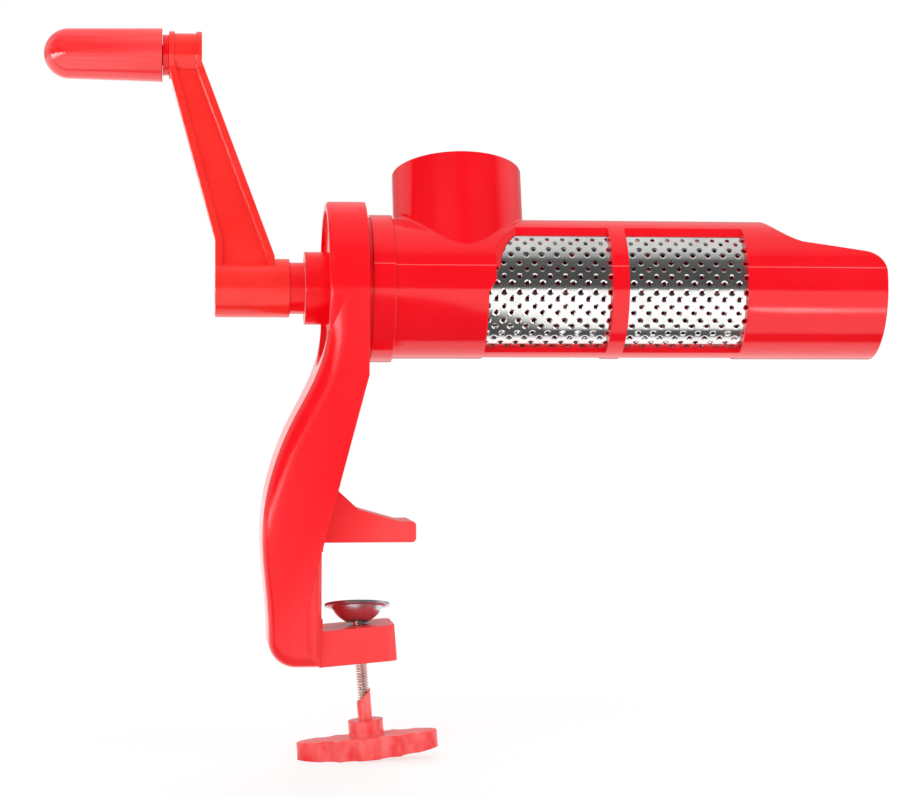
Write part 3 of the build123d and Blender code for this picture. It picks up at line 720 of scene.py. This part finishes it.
def pale_floor():
    material = bpy.data.materials.new("pale_floor")
    material.use_nodes = True
    g = Graph(material.node_tree)
    g.tree.nodes.clear()
    spot = g.coordinates("Object")
    x, y, _ = g.split(spot)
    mirror = g.add("ShaderNodeLightPath").outputs["Is Glossy Ray"]

    before_back = g.eased(y, DARK_BACK, 1.0, 0.0)
    strip = g.math("MULTIPLY", g.eased(y, STRIP_FRONT), before_back)
    slant = g.math("MAXIMUM", g.math("MULTIPLY_ADD", y, COLUMN_SLANT, COLUMN_WIDER), 0.0)
    column_right = g.eased(g.math("SUBTRACT", x, slant), COLUMN_RIGHT, 1.0, 0.0)
    column = g.math("MULTIPLY", g.eased(x, COLUMN_LEFT), column_right)
    darkest = g.math("MAXIMUM", strip, g.math("MULTIPLY", column, before_back))
    dark = g.math("MULTIPLY", darkest, mirror)

    distant = g.eased(y, FAR_BACK, NEAR_LEVEL, g.eased(x, FAR_LEFT, FAR_LEFT_LEVEL, FAR_LEVEL))
    pool = g.eased(y, POOL_BACK, POOL_LEVEL, 0.0)
    pooled = g.math("MULTIPLY_ADD", g.eased(x, POOL_RIGHT, 1.0, 0.0), pool, distant)
    gleam = g.math("MULTIPLY", g.eased(y, GLEAM_FRONT), g.eased(y, GLEAM_BACK, 1.0, 0.0))
    gleam_level = g.math("MULTIPLY", g.eased(x, GLEAM_LEFT), g.eased(x, GLEAM_FADE, *GLEAM_LEVELS))
    mirrored = g.math("MULTIPLY_ADD", gleam, gleam_level, pooled)
    level = g.even(mirror, (0.0, 1.0), 1.0, mirrored)

    white = g.add("ShaderNodeEmission")
    g.link(g.math("MULTIPLY", level, g.even(dark, (0.0, 1.0), 1.0, DARK_LEVEL)), white.inputs["Strength"])
    speckle = g.add("ShaderNodeTexNoise")
    speckle.inputs["Scale"].default_value = SPECKLE_SCALE
    matt = g.add("ShaderNodeBsdfDiffuse")
    g.link(g.ramp(speckle.outputs["Fac"], FLOOR_TONES), matt.inputs["Color"])
    share = g.math("MAXIMUM", g.eased(g.length(spot), SHADOW_SPAN, SHADOW_WHITE, 1.0), dark)
    output = g.add("ShaderNodeOutputMaterial")
    g.link(g.mix(share, matt.outputs[0], white.outputs[0]), output.inputs["Surface"])
    return material


floor_mesh = bpy.data.meshes.new("floor")
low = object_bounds()[0][2]
corners = [(-1, -1), (1, -1), (1, 1), (-1, 1)]
floor_mesh.from_pydata([(x * FLOOR_REACH, y * FLOOR_REACH, 0) for x, y in corners], [], [(0, 1, 2, 3)])
floor = bpy.data.objects.new("floor", floor_mesh)
floor.location = (0, 0, low)
scene.collection.objects.link(floor)
floor_mesh.materials.append(pale_floor())

# World: white to the eye, soft light, and in reflections a room that is dark in front
SOFT_LIGHT = 0.68
ROOM_TONE = 0.8
SIDE_STOPS = ((0.4, grey(0.1)), (0.58, grey(1.0)), (0.7, grey(1.0)), (0.9, grey(0.5)))
OVERHEAD_LEAN = radians(20.0)
OVERHEAD = LOOKING * sin(OVERHEAD_LEAN) + Vector((0, 0, cos(OVERHEAD_LEAN)))
ABOVE_STOPS = ((0.2, grey(0.1)), (0.54, grey(0.15)), (0.7, grey(0.65)), (0.85, grey(0.95)))
STRAIGHT = (0.88, 0.98)
RAISED = (0.18, 0.26)
BACKDROP_LEVEL = 1.1
LEFTWARD = (-0.03, 0.0)
LEFT_LEVEL = 1.5


def studio_world():
    world = bpy.data.worlds.new("studio")
    world.use_nodes = True
    g = Graph(world.node_tree)
    g.tree.nodes.clear()
    direction = g.coordinates("Generated")
    x, _, z = g.split(direction)
    ray = g.add("ShaderNodeLightPath").outputs

    def background(tone, strength):
        node = g.add("ShaderNodeBackground")
        node.inputs["Color"].default_value = (*grey(tone), 1.0)
        g.feed(node.inputs["Strength"], strength)
        return node.outputs[0]

    toward = g.dot(direction, LOOKING)
    sides = g.ramp(g.even(toward, (-1.0, 1.0)), SIDE_STOPS, "EASE")
    above = g.ramp(g.dot(direction, OVERHEAD), ABOVE_STOPS, "EASE")
    straight = g.eased(toward, STRAIGHT)
    backdrop = g.math("MULTIPLY", straight, g.eased(z, RAISED, 0.0, BACKDROP_LEVEL))
    left = g.math("MULTIPLY", straight, g.eased(x, LEFTWARD, LEFT_LEVEL, 0.0))
    brightest = g.math("MAXIMUM", g.math("MAXIMUM", sides, above), backdrop)
    room = background(ROOM_TONE, g.math("MAXIMUM", brightest, left))

    lit = g.mix(ray["Is Glossy Ray"], background(1.0, SOFT_LIGHT), room)
    seen = g.math("MAXIMUM", ray["Is Camera Ray"], ray["Is Transmission Ray"])
    output = g.add("ShaderNodeOutputWorld")
    g.link(g.mix(seen, lit, background(1.0, 1.0)), output.inputs["Surface"])
    return world


scene.world = studio_world()

# Lamps
LAMP_SIZE = 1.2
LAMP_AIM = Vector((0.05, 0, 0.08))


def lamp(name, place, power):
    data = bpy.data.lights.new(name, "AREA")
    data.shape = "SQUARE"
    data.size = LAMP_SIZE
    data.energy = power
    thing = bpy.data.objects.new(name, data)
    thing.location = place
    thing.rotation_euler = (LAMP_AIM - Vector(place)).to_track_quat("-Z", "Y").to_euler()
    thing.visible_glossy = False
    scene.collection.objects.link(thing)


lamp("key_lamp", (-0.7, -1.3, 1.3), 11.0)
lamp("fill_lamp", (1.1, -1.2, 0.8), 6.0)
lamp("back_lamp", (0.2, 1.3, 1.2), 12.0)

scene.view_settings.view_transform = "Standard"
